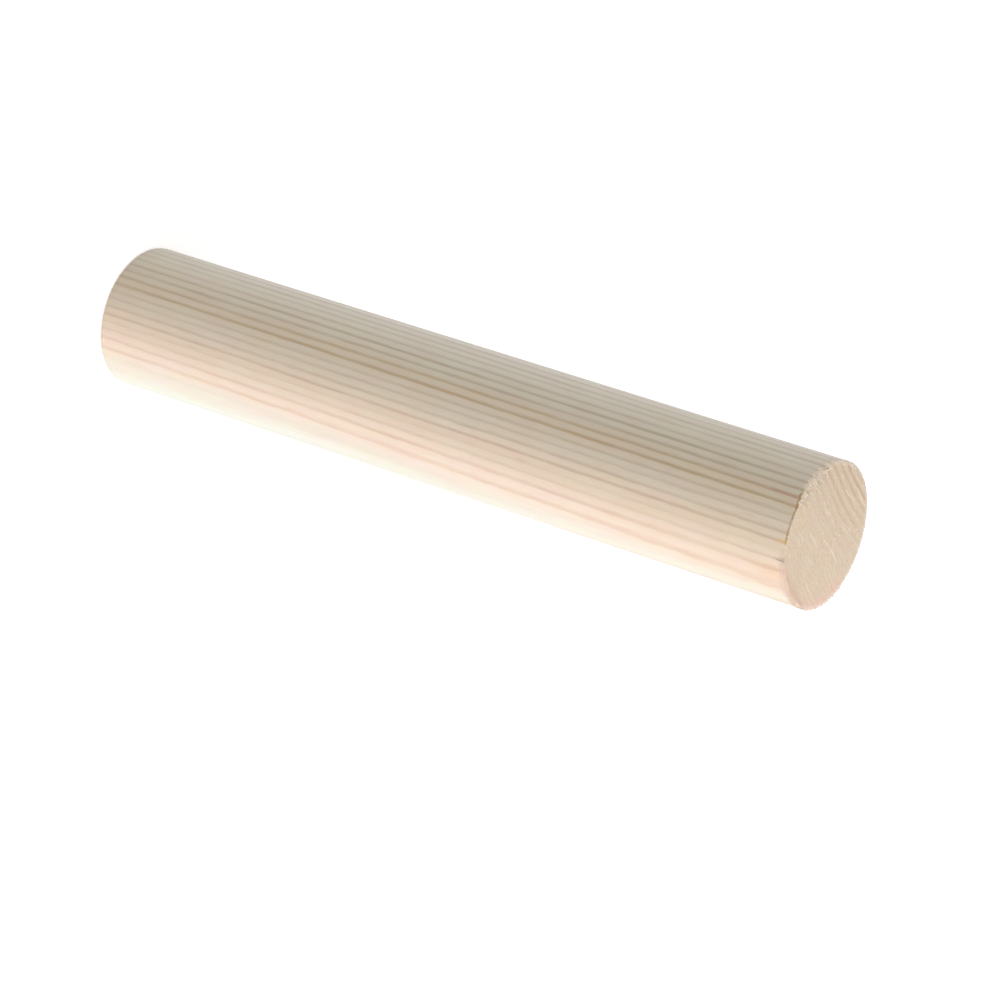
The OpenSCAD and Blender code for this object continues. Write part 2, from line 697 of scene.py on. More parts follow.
@dataclass(frozen=True)
class Rim:
    """The edges round the sawn faces: worn, chipped and burred in places, with painted shadow, painted
    shade, a painted highlight and a painted glow in others.

    Where each kind of wear or painted light shows round the rod is given in degrees from the front. A
    depth is how far in from the side, and from the head face, it still shows.
    """

    worn: Span = Span(42.0, 84.0, 12.0)
    worn_extra: float = 0.35 * MM
    lip_deg: tuple[float, float, float, float] = (-86.0, -68.0, -34.0, -12.0)
    lip_extra: float = 1.35 * MM
    lip_skin: Fade = (0.04 * MM, 0.3 * MM)
    tough: float = 0.5
    chips_per_deg: float = 0.22
    chip_rough: float = 0.4
    chip_share: float = 2.2
    usual_chip: float = 0.95
    least_chip: float = 0.3
    torn: Span = Span(-54.0, -20.0, 10.0)
    torn_depth: Fade = (3.0 * MM, 0.8 * MM)
    # Painted shade: a pinkish darker band along the head's edge, from 26 to 146 degrees.
    bruised: Span = Span(26.0, 146.0, 10.0)
    edge_shade_depth: Fade = (1.5 * MM, 0.2 * MM)
    edge_shade_ragged: float = 1.2 * MM
    stained: Span = Span(-24.0, -18.0, 1.5)
    stain_along: Span = Span(0.2 * MM, 5.5 * MM, 2.0 * MM)
    burred: Span = Span(66.0, 146.0, 8.0)
    burr_depth: Fade = (0.7 * MM, 0.2 * MM)
    burr_height: float = 1.2 * MM
    # Painted shadow: a dark golden-brown line below the head's rim, from -24 to 14 degrees, where a burr's
    # shadow would fall.
    rim_shadowed: Span = Span(-24.0, 14.0, 2.5)
    rim_shadow_width: float = 0.42 * MM
    rim_shadow_ragged: float = 0.7 * MM
    rim_shadow_blur: Fade = (0.6, 0.25)
    rim_shadow_below: float = 0.08 * MM
    rim_shadow_edge_share: float = 0.8
    rim_shadow_change: float = 1.6
    rim_shadow_usual: float = 0.85
    resin: Span = Span(13.6, 14.8, 1.1)
    resin_along: Span = Span(0.15 * MM, 2.0 * MM, 0.4 * MM)
    # Painted highlight: the arris is paler round the back, outside this span.
    arris_shown: Span = Span(-64.0, 84.0, 14.0)
    arris_highlight_depth: Fade = (1.3 * MM, 0.15 * MM)
    arris_highlight_ragged: float = 1.0 * MM
    # Painted glow: the face is pinker near its rim from 100 to 140 degrees, where light shines through the
    # frayed fibres.
    flushed: Span = Span(100.0, 140.0, 14.0)
    rim_glow_depth: Fade = (3.2 * MM, 0.6 * MM)
    rim_glow_ragged: float = 5.0 * MM
    amber: Span = Span(37.0, 46.0, 5.0)
    amber_along: Fade = (10.0 * MM, 3.0 * MM)
    amber_depth: float = 0.4 * MM
    wear_reach: float = 0.55 * MM
    wear_ragged: float = 0.9 * MM
    wear_core: float = 0.2
    head_zone: float = 1.5 * MM
    frayed: float = 0.36 * MM
    uneven: Grain = Grain(0.5, 0.8, detail=3.0)
    blotches: Grain = Grain(0.8, 0.8)
    lumps: Grain = Grain(0.9, 1.2)

    def around(self, graph: Graph, place: Socket) -> Socket:
        """Measures a place round the rod.

        Args:
            graph: The tree.
            place: The place.

        Returns:
            Its angle, in degrees from the front.
        """
        x, y, _ = graph.split(place)
        angle = graph.math("ARCTAN2", x, graph.times(y, -1.0))
        return graph.times(angle, 180 / math.pi)

    def lip(self, graph: Graph, around: Socket) -> Socket:
        """Returns, from 0 to 1, how much of the head's edge is torn off at an angle."""
        first, full, last, end = self.lip_deg
        return graph.times(graph.step(around, first, full), graph.ramp(around, end, last))

    def extra_edge(self, graph: Graph, around: Socket, sizes: Sizes, rings: Tree) -> Socket:
        """Returns how much bigger the head's edge break is than elsewhere, at an angle.

        Args:
            graph: The tree.
            around: The angle, in degrees from the front.
            sizes: The rod's sizes.
            rings: The growth rings, whose tough lines chip less than the wood between them.

        Returns:
            The extra radius of the edge, in metres.
        """
        angle = graph.math("RADIANS", around)
        side_x = graph.times(graph.math("SINE", angle), sizes.radius)
        side_y = graph.times(graph.math("COSINE", angle), -sizes.radius)
        line = graph.use(rings, graph.joined(side_x, side_y, sizes.length))["Line"]
        worn = graph.times(graph.within(around, self.worn), self.worn_extra)
        chips = graph.joined(graph.times(around, self.chips_per_deg), 0.0, 0.0)
        rough = graph.noise(chips, detail=1.0, rough=self.chip_rough)
        chipped = graph.blend(rough, self.chip_share, self.usual_chip)
        chipped = graph.math("MAXIMUM", chipped, self.least_chip)
        holds = graph.blend(line, -self.tough, 1.0)
        torn = graph.times(self.lip(graph, around), self.lip_extra, chipped, holds)
        return graph.plus(worn, torn)

    def field(self, kind: TreeKind, sizes: Sizes, rings: Tree) -> Tree:
        """Builds the wear round the sawn edges.

        Args:
            kind: The kind of tree that will use it.
            sizes: The rod's sizes.
            rings: The growth rings, for the same kind of tree.

        Returns:
            A group whose outputs are the distance from the rim, and how far a place belongs to the edge
            wear, the torn lip, the painted shadow line below the head's rim, the resin spots, the burr,
            the painted shade along the head's edge, the torn patch of the face, the stained line beside
            it, the arris's painted highlight, and the pinkish painted glow and the amber patch, from 0 to
            1.
        """
        names = ["Rim", "Wear", "Lip", "Scorch", "Resin", "Burr", "Bruised", "Torn", "Stain"]
        names += ["Pale", "Flushed", "Amber"]
        outputs = {label: FLOAT for label in names}
        name = f"edge_wear_{kind.name.lower()}"
        graph, start, end = Graph.group(name, kind, {"Place": VECTOR}, outputs)
        place = start.outputs["Place"]
        x, y, z = graph.split(place)
        around = self.around(graph, place)
        depth = graph.minus(sizes.radius, graph.flat_length(x, y))
        from_head = graph.minus(sizes.length, z)
        from_end = graph.math("MINIMUM", z, from_head)
        rim = graph.math("MAXIMUM", from_end, depth)
        place_mm = graph.scaled(place, 1 / MM)
        uneven = graph.grain(place_mm, self.uneven)
        reach = graph.blend(uneven, self.wear_ragged, self.wear_reach)
        wear = graph.step(rim, reach, graph.times(reach, self.wear_core))

        # Painted shadow line below the head's rim, blotched and ragged.
        edge = graph.plus(self.extra_edge(graph, around, sizes, rings), sizes.edge)
        line_place = graph.blend(edge, self.rim_shadow_edge_share, self.rim_shadow_below)
        beside = graph.minus(from_head, line_place)
        width = graph.blend(uneven, self.rim_shadow_ragged, self.rim_shadow_width)
        away = graph.math("ABSOLUTE", beside)
        line = graph.step(away, *(graph.times(width, share) for share in self.rim_shadow_blur))
        blotches = graph.grain(place_mm, self.blotches)
        here = graph.within(around, self.rim_shadowed)
        scorch = graph.times(line, here, graph.blend(blotches, self.rim_shadow_change, self.rim_shadow_usual))

        along = graph.within(from_head, self.resin_along)
        resin = graph.times(along, graph.within(around, self.resin))
        lumps = graph.grain(place_mm, self.lumps)
        near = graph.step(graph.math("MAXIMUM", from_head, depth), *self.burr_depth)
        here = graph.within(around, self.burred)
        burr = graph.times(graph.math("MAXIMUM", lumps, 0.0), near, here)

        at_head = graph.math("LESS_THAN", from_head, self.head_zone)
        lip = graph.times(self.lip(graph, around), at_head, graph.step(from_head, *self.lip_skin))
        torn = graph.times(graph.within(around, self.torn), graph.step(depth, *self.torn_depth))
        # Painted shade along the head's edge, within about 1.5 mm of it.
        inwards = graph.math("MAXIMUM", from_head, depth)
        near = graph.step(graph.blend(uneven, self.edge_shade_ragged, inwards), *self.edge_shade_depth)
        bruised = graph.times(graph.within(around, self.bruised), near)
        stained = graph.within(around, self.stained)
        stained = graph.times(stained, graph.within(from_head, self.stain_along))

        # Painted highlight on the arris round the back, within about 1.3 mm of the side.
        hidden = graph.minus(1.0, graph.within(around, self.arris_shown))
        ragged = graph.blend(uneven, self.arris_highlight_ragged, depth)
        pale = graph.times(hidden, graph.step(ragged, *self.arris_highlight_depth))
        # Painted glow near the head's rim, ragged, within about 3 mm of the side.
        flushed = graph.times(graph.within(around, self.flushed), at_head)
        ragged = graph.blend(blotches, self.rim_glow_ragged, depth)
        flushed = graph.times(flushed, graph.step(ragged, *self.rim_glow_depth))
        here = graph.within(around, self.amber)
        amber = graph.times(here, graph.math("LESS_THAN", depth, self.amber_depth))
        amber = graph.times(amber, graph.step(from_head, *self.amber_along))
        return graph.gives(
            end, Rim=rim, Wear=wear, Lip=lip, Scorch=scorch, Resin=resin, Burr=burr, Bruised=bruised,
            Torn=graph.times(torn, at_head), Stain=stained, Pale=pale, Flushed=flushed, Amber=amber,
        )


@dataclass(frozen=True)
class TintStop:
    """The colours at one place across the rings, with the painted light that they carry there.

    The latewood's colour is given as a share of the pale earlywood's.
    """

    across_mm: float
    earlywood: Colour
    latewood: Colour


@dataclass(frozen=True)
class WoodTintAndPaintedLight:
    """How the colour changes from the inner rings to the outer ones: partly the wood's own colour, and
    partly painted light, paler and whiter with fainter latewood towards the lit +X side and greyer towards
    the shaded -X side.
    """

    # Partly painted light: the outer stops, towards +X, are paler and whiter for the lit side, and the
    # inner ones are greyer for the shaded side.
    stops: tuple[TintStop, ...] = (
        TintStop(-14.0, srgb(220, 207, 191), (0.74, 0.71, 0.67)),
        TintStop(-6.0, srgb(220, 209, 190), (0.72, 0.70, 0.64)),
        TintStop(-1.5, srgb(216, 204, 184), (0.73, 0.67, 0.58)),
        TintStop(2.2, srgb(215, 199, 175), (0.75, 0.66, 0.53)),
        TintStop(6.0, srgb(217, 202, 182), (0.73, 0.68, 0.60)),
        TintStop(9.5, srgb(221, 201, 179), (0.75, 0.68, 0.63)),
        TintStop(12.9, srgb(231, 209, 191), (0.82, 0.72, 0.64)),
        TintStop(14.2, srgb(226, 215, 200), (0.90, 0.80, 0.70)),
    )
    reach_mm: float = 15.0

    def ramp(self, graph: Graph, share: Socket, colours: list[Colour]) -> Socket:
        """Blends between the stops' colours.

        Args:
            graph: The tree.
            share: Where to read, as a share of the whole reach.
            colours: The colour at each stop.

        Returns:
            The colour there.
        """
        node = graph.add("ShaderNodeValToRGB", {0: share})
        node.color_ramp.interpolation = "EASE"
        elements = node.color_ramp.elements
        places = [(stop.across_mm + self.reach_mm) / (2 * self.reach_mm) for stop in self.stops]
        elements[0].position, elements[1].position = places[0], places[-1]
        for place in places[1:-1]:
            elements.new(place)
        for element, colour in zip(elements, colours):
            element.color = (*colour, 1.0)
        return node.outputs[0]

    def build(self) -> Tree:
        """Builds the wood's colours, with their painted light.

        Returns:
            A group that gives the earlywood's and the latewood's colour across the rings.
        """
        outputs = {"Earlywood": "NodeSocketColor", "Latewood": "NodeSocketColor"}
        graph, start, end = Graph.group("wood_tint_and_painted_light", TreeKind.SHADER, {"Across": FLOAT}, outputs)
        share = graph.ramp(start.outputs["Across"], -self.reach_mm, self.reach_mm)
        early = self.ramp(graph, share, [stop.earlywood for stop in self.stops])
        darker = self.ramp(graph, share, [stop.latewood for stop in self.stops])
        late = graph.multiplied(early, darker)
        return graph.gives(end, Earlywood=early, Latewood=late)


@dataclass(frozen=True)
class WoodFields:
    """The shader groups that every finish of this rod is mixed from."""

    rings: Tree
    fibres: Tree
    rim: Tree
    tint: Tree
    edges: Rim


@dataclass(frozen=True)
class Patch:
    """A colour laid over the wood, as strongly as share, where one of the rim's masks shows."""

    mask: str
    share: float
    colour: Colour


@dataclass
class Finish:
    """A new material whose shader reads the wood's fields at each place in the rod."""

    name: str
    fields: WoodFields

    def __post_init__(self) -> None:
        """Starts the material and places the field groups in it."""
        self.material = bpy.data.materials.new(self.name)
        self.material.use_nodes = True
        self.graph = Graph(self.material.node_tree)
        self.shader = self.material.node_tree.nodes["Principled BSDF"]
        self.place = self.graph.add("ShaderNodeTexCoord").outputs["Object"]
        self.ring = self.graph.use(self.fields.rings, self.place)
        self.fibre = self.graph.use(self.fields.fibres, self.place)
        self.rim = self.graph.use(self.fields.rim, self.place)
        self.tint = self.graph.use(self.fields.tint, self.ring["Across"])

    def patched(self, colour: Socket, patches: tuple[Patch, ...]) -> Socket:
        """Lays patches over a colour, in their order.

        Args:
            colour: The colour.
            patches: The patches.

        Returns:
            The patched colour.
        """
        for patch in patches:
            colour = self.graph.laid(colour, self.rim[patch.mask], patch.share, patch.colour)
        return colour

    def close(self, colour: Socket, roughness: Value, height: Socket, relief: float) -> bpy.types.Material:
        """Feeds the shader.

        Args:
            colour: The base colour.
            roughness: The roughness.
            height: The bump's height, in parts of its relief.
            relief: How much a height of 1 stands out, in metres.

        Returns:
            The material.
        """
        self.graph.feed(self.shader.inputs["Base Color"], colour)
        self.graph.feed(self.shader.inputs["Roughness"], roughness)
        values = {"Height": height, "Strength": 1.0, "Distance": relief}
        bump = self.graph.add("ShaderNodeBump", values)
        self.graph.feed(self.shader.inputs["Normal"], bump.outputs[0])
        return self.material


@dataclass(frozen=True)
class SideGrain:
    """The planed side: pale earlywood between thin brown lines that run along the rod.

    A share is how strongly a feature shows. The painted shade towards the head and the amber wood have the
    plain colour times the one given here.
    """

    canal: Colour = srgb(168, 132, 92)
    canal_share: float = 0.28
    # Painted shadow below the head's rim: golden brown, with darker spots.
    scorch: Colour = srgb(166, 128, 66)
    rim_shadow_dark: Colour = srgb(108, 74, 36)
    rim_shadow_share: float = 0.85
    spots: Grain = Grain(0.55, 0.55, detail=1.0)
    spot_edge: Fade = (0.06, 0.18)
    patches: tuple[Patch, ...] = (
        # Painted shade along the head's edge.
        Patch("Bruised", 0.75, srgb(200, 174, 158)),
        Patch("Resin", 0.6, srgb(212, 178, 112)),
    )
    stain: Colour = srgb(180, 140, 116)
    stain_share: float = 0.6
    # Painted highlight: more green and blue, so whiter, on the lit +X strip from 72 to 90 degrees.
    painted_highlight_span: Span = Span(72.0, 90.0, 18.0)
    painted_highlight_green: float = 0.095
    painted_highlight_blue: float = 0.105
    # Painted shade: the side is a little darker towards the head.
    painted_head_shade: Colour = (0.98, 0.975, 0.955)
    painted_head_shade_from: Fade = (0.10, 0.15)
    amber: Colour = (1.0, 0.93, 0.87)
    streak_shade: float = 0.13
    band_shade: float = 0.10
    tint_change: float = 0.18
    wear_share: float = 0.25
    roughness: float = 0.5
    streak_roughness: float = 0.12
    wear_roughness: float = 0.2
    sheen: float = 0.25
    sheen_roughness: float = 0.4
    streak_height: float = 0.6
    relief: float = 0.01 * MM

    def painted_light_and_amber(self, finish: Finish, colour: Socket, edges: Rim) -> Socket:
        """Paints light on the side and ambers it: a painted highlight whitens a strip of it, painted shade
        darkens it towards the head, and it turns amber in a patch towards the head.

        Args:
            finish: The material that is being built.
            colour: The colour before the painted light and the amber.
            edges: The edges, which measure angles round the rod.

        Returns:
            The colour with them.
        """
        graph, rim = finish.graph, finish.rim
        # Painted highlight on the lit +X strip.
        painted_highlight = graph.within(edges.around(graph, finish.place), self.painted_highlight_span)
        green = graph.blend(painted_highlight, self.painted_highlight_green, 1.0)
        blue = graph.blend(painted_highlight, self.painted_highlight_blue, 1.0)
        colour = graph.multiplied(colour, graph.joined(1.0, green, blue))
        # Painted shade, from 100 mm to 150 mm up.
        _, _, height = graph.split(finish.place)
        painted_head_shade = graph.multiplied(colour, self.painted_head_shade)
        colour = graph.mixed(graph.step(height, *self.painted_head_shade_from), colour, painted_head_shade)
        return graph.mixed(rim["Amber"], colour, graph.multiplied(colour, self.amber))

    def build(self, fields: WoodFields) -> bpy.types.Material:
        """Builds the material.

        Args:
            fields: The wood's fields.

        Returns:
            The material.
        """
        finish = Finish("planed_side_grain", fields)
        graph, ring, fibre, rim, tint = finish.graph, finish.ring, finish.fibre, finish.rim, finish.tint
        colour = graph.mixed(ring["Latewood"], tint["Earlywood"], tint["Latewood"])
        shade = graph.blend(fibre["Bands"], self.band_shade, 1.0)
        colour = graph.shaded(colour, graph.blend(fibre["Streaks"], self.streak_shade, shade))
        colour = graph.varied(colour, fibre["Pink"], fibre["Yellow"], self.tint_change)
        colour = graph.laid(colour, fibre["Canals"], self.canal_share, self.canal)
        colour = graph.laid(colour, rim["Wear"], self.wear_share, tint["Latewood"])
        stained = graph.times(rim["Stain"], ring["Line"], self.stain_share)
        colour = self.painted_light_and_amber(finish, graph.mixed(stained, colour, self.stain), fields.edges)
        colour = finish.patched(colour, self.patches)
        # Painted shadow below the head's rim, with darker spots in it.
        spots = graph.grain(graph.scaled(finish.place, 1 / MM), self.spots)
        rim_shadow_tone = graph.mixed(graph.step(spots, *self.spot_edge), self.scorch, self.rim_shadow_dark)
        rim_shadowed = graph.math("MINIMUM", rim["Scorch"], 1.0)
        colour = graph.laid(colour, rim_shadowed, self.rim_shadow_share, rim_shadow_tone)
        finish.shader.inputs["Sheen Weight"].default_value = self.sheen
        finish.shader.inputs["Sheen Roughness"].default_value = self.sheen_roughness
        roughness = graph.blend(fibre["Streaks"], self.streak_roughness, self.roughness)
        roughness = graph.blend(rim["Wear"], self.wear_roughness, roughness)
        height = graph.blend(fibre["Streaks"], self.streak_height, ring["Line"])
        return finish.close(colour, roughness, height, self.relief)


@dataclass(frozen=True)
class EndGrain:
    """The sawn faces: matt, with faint rings, and scratched and speckled along the rings.

    The saw's stroke crosses the face at stroke_deg. Places along it, and places across the
    rings, are in mm from the middle of the face. A share is how strongly a feature shows, and
    latewood has the earlywood's colour times the one given here.
    """

    plain: Colour = srgb(225, 203, 179)
    plain_share: float = 0.85
    latewood: Colour = (0.82, 0.70, 0.58)
    ring_power: float = 0.6
    ring_share: float = 0.8
    inner_rings: Slope = (0.0, -9.0, 0.06, 1.0)
    innermost_rings: Slope = (-9.6, -12.0, 0.0, 1.6)
    fading_rings: Slope = (-2.0, 9.0, 1.1, 0.45)
    outermost: Fade = (10.6, 11.8)
    outermost_rings: float = 1.15
    ring_change: float = 1.8
    ring_usual: float = 0.9
    outer: Colour = srgb(218, 186, 166)
    outer_share: float = 0.45
    outer_shade: Slope = (5.0, -12.0, 1.0, 0.95)
    far_shade: Slope = (-12.0, 12.0, 0.965, 1.02)
    fine_shade: float = 0.05
    tint_change: float = 0.20
    tuft: Colour = srgb(243, 228, 205)
    speckle_edge: Fade = (0.09, 0.21)
    speckle_share: float = 0.8
    scratch_edge: Fade = (0.15, 0.22)
    scratch_share: float = 0.6
    loop_edge: Fade = (0.06, 0.15)
    loop_share: float = 0.8
    shadow: Colour = srgb(172, 150, 140)
    shadow_edge: Fade = (-0.06, -0.16)
    shadow_share: float = 0.7
    # Painted shade in small pits of the sawn face.
    pit_shade: Colour = srgb(186, 160, 138)
    pit_shade_edge: Fade = (-0.12, -0.26)
    pit_shade_share: float = 0.5
    # Painted shade over the torn patch of the face: a purple-grey tint.
    torn_shade: Colour = srgb(206, 186, 182)
    torn_shade_share: float = 0.2
    patches: tuple[Patch, ...] = (
        # Painted shade along the head's edge.
        Patch("Bruised", 0.35, srgb(220, 190, 174)),
        # Painted glow near the rim.
        Patch("Flushed", 0.4, srgb(246, 194, 180)),
        # Painted highlight on the arris round the back.
        Patch("Pale", 0.55, srgb(244, 230, 216)),
        # Painted light: the torn lip gets the pale fibre colour so that it looks as bright as the face,
        # though it tilts away from the lamps.
        Patch("Lip", 0.5, tuft),
    )
    # Painted shadow below the head's rim, where it reaches the face.
    scorch: Colour = srgb(166, 128, 66)
    stroke_deg: float = 65.0
    saw: Grain = Grain(1.8, 1.0, 0.5, rough=0.6)
    scratch: Grain = Grain(9.0, 1.0, 0.55, detail=1.0)
    speckle: Grain = Grain(0.72, 1.0, 0.66, rough=0.6)
    patch: Grain = Grain(4.0, 4.0, 3.0)
    loops: Grain = Grain(2.2, 1.0, 0.42, detail=1.0)
    curl_mm: float = 5.0
    curl: float = 1.4
    crowd: Slope = (-0.12, 0.14, 0.25, 1.0)
    torn_crowd: float = 1.5
    lifted_edge: Fade = (-0.12, 0.02)
    saw_depth: float = 0.2
    saw_pits: float = 0.3
    line_depth: float = 0.08
    scratch_depth: float = 0.3
    roughness: float = 0.8
    relief: float = 0.10 * MM

    def ring_lines(self, finish: Finish, patch: Socket, outermost: Socket, far: Socket) -> Socket:
        """Returns how strongly the latewood shows on the sawn face.

        Args:
            finish: The material that is being built.
            patch: Broad patches, about 0.
            outermost: 1 in the outermost rings, which show best.
            far: How far a place lies along the stroke, in mm.

        Returns:
            The latewood's share of the colour.
        """
        graph, ring = finish.graph, finish.ring
        across = ring["Across"]
        shows = graph.times(graph.step(across, *self.inner_rings), graph.ramp(far, *self.fading_rings))
        shows = graph.plus(shows, graph.step(across, *self.innermost_rings))
        shows = graph.plus(shows, graph.times(outermost, self.outermost_rings))
        soft = graph.times(graph.math("POWER", ring["Latewood"], self.ring_power), self.ring_share)
        return graph.times(soft, shows, graph.blend(patch, self.ring_change, self.ring_usual))

    def build(self, fields: WoodFields) -> bpy.types.Material:
        """Builds the material.

        Args:
            fields: The wood's fields.

        Returns:
            The material.
        """
        finish = Finish("sawn_end_grain", fields)
        graph, ring, fibre, rim, tint = finish.graph, finish.ring, finish.fibre, finish.rim, finish.tint
        angle = (0.0, 0.0, -math.radians(self.stroke_deg))
        turned = graph.add("ShaderNodeMapping", {0: finish.place, 2: angle}).outputs[0]
        stroke = graph.scaled(turned, 1 / MM)
        saw = graph.grain(stroke, self.saw)
        curl = graph.wander(graph.stretched(stroke, self.curl_mm, self.curl_mm))
        bent = graph.shifted(stroke, graph.scaled(curl, self.curl))
        scratch = graph.grain(bent, self.scratch)
        speckle = graph.grain(stroke, self.speckle)
        patch = graph.grain(stroke, self.patch)

        outermost = graph.step(ring["Across"], *self.outermost)
        far, _, _ = graph.split(stroke)
        lines = self.ring_lines(finish, patch, outermost, far)
        colour = graph.mixed(self.plain_share, tint["Earlywood"], self.plain)
        colour = graph.mixed(lines, colour, graph.multiplied(colour, self.latewood))
        shade = graph.step(ring["Across"], *self.outer_shade)
        shade = graph.times(shade, graph.ramp(far, *self.far_shade))
        fine = graph.blend(saw, self.fine_shade, graph.blend(patch, self.fine_shade, 1.0))
        colour = graph.shaded(colour, graph.times(shade, fine))
        colour = graph.varied(colour, fibre["Pink"], fibre["Yellow"], self.tint_change)

        crowd = graph.step(patch, *self.crowd)
        crowd = graph.math("MAXIMUM", crowd, graph.times(rim["Torn"], self.torn_crowd))
        colour = graph.laid(colour, outermost, self.outer_share, self.outer)
        speckles = graph.times(graph.step(speckle, *self.speckle_edge), crowd, self.speckle_share)
        colour = graph.mixed(speckles, colour, self.tuft)
        colour = graph.laid(colour, graph.step(scratch, *self.scratch_edge), self.scratch_share, self.tuft)
        # Painted shade over the torn patch.
        colour = graph.laid(colour, rim["Torn"], self.torn_shade_share, self.torn_shade)
        loops = graph.grain(bent, self.loops)
        lifted = graph.minus(1.0, rim["Lip"])
        lifted = graph.times(rim["Torn"], lifted, graph.step(patch, *self.lifted_edge))
        bright = graph.times(graph.step(loops, *self.loop_edge), lifted, self.loop_share)
        colour = graph.mixed(bright, colour, self.tuft)
        shadows = graph.times(graph.step(loops, *self.shadow_edge), lifted, self.shadow_share)
        colour = graph.mixed(shadows, colour, self.shadow)
        # Painted shade in small pits, where the patches crowd them.
        shaded_pits = graph.step(graph.blend(saw, self.saw_pits, speckle), *self.pit_shade_edge)
        colour = graph.mixed(graph.times(shaded_pits, crowd, self.pit_shade_share), colour, self.pit_shade)

        colour = finish.patched(colour, self.patches)
        # Painted shadow below the head's rim.
        colour = graph.mixed(graph.math("MINIMUM", rim["Scorch"], 1.0), colour, self.scorch)
        height = graph.blend(scratch, self.scratch_depth, speckle)
        height = graph.blend(ring["Line"], self.line_depth, height)
        height = graph.blend(saw, self.saw_depth, height)
        return finish.close(colour, self.roughness, height, self.relief)


@dataclass(frozen=True)
class TornGrain:
    """Wood that was torn rather than cut, with coarse fibres.

    It has the planed wood's colour times its tone.
    """

    name: str
    tone: Colour
    streak_shade: float = 0.35
    roughness: float = 0.75
    band_roughness: float = 0.2
    relief: float = 0.05 * MM

    def build(self, fields: WoodFields) -> bpy.types.Material:
        """Builds the material.

        Args:
            fields: The wood's fields.

        Returns:
            The material.
        """
        finish = Finish(self.name, fields)
        graph, fibre = finish.graph, finish.fibre
        colour = graph.mixed(finish.ring["Latewood"], finish.tint["Earlywood"], finish.tint["Latewood"])
        colour = graph.multiplied(colour, self.tone)
        colour = graph.shaded(colour, graph.blend(fibre["Streaks"], self.streak_shade, 1.0))
        roughness = graph.blend(fibre["Bands"], self.band_roughness, self.roughness)
        return finish.close(colour, roughness, fibre["Streaks"], self.relief)


TORN_NOTCH = TornGrain("torn_notch", (0.94, 0.94, 0.94))
TORN_FIBRE = TornGrain("torn_fibre", (1.12, 1.10, 1.04), streak_shade=0.2)


def grown(tree: Tree, sizes: dict[str, float], name: str) -> bpy.types.Mesh:
    """Runs a Geometry Nodes tree once.

    Args:
        tree: The tree.
        sizes: What each named input gets.
        name: The name of the mesh.

    Returns:
        The plain mesh that the tree makes.
    """
    carrier = placed(name, bpy.data.meshes.new(name))
    modifier = carrier.modifiers.new("grow", "NODES")
    modifier.node_group = tree
    for item in tree.interface.items_tree:
        if item.item_type == "SOCKET" and item.in_out == "INPUT" and item.name in sizes:
            modifier[item.identifier] = sizes[item.name]
    view = bpy.context.evaluated_depsgraph_get()
    mesh = bpy.data.meshes.new_from_object(carrier.evaluated_get(view))
    bpy.data.objects.remove(carrier)
    for index in reversed(range(len(mesh.materials))):
        if mesh.materials[index] is None:
            mesh.materials.pop(index=index)
    return mesh


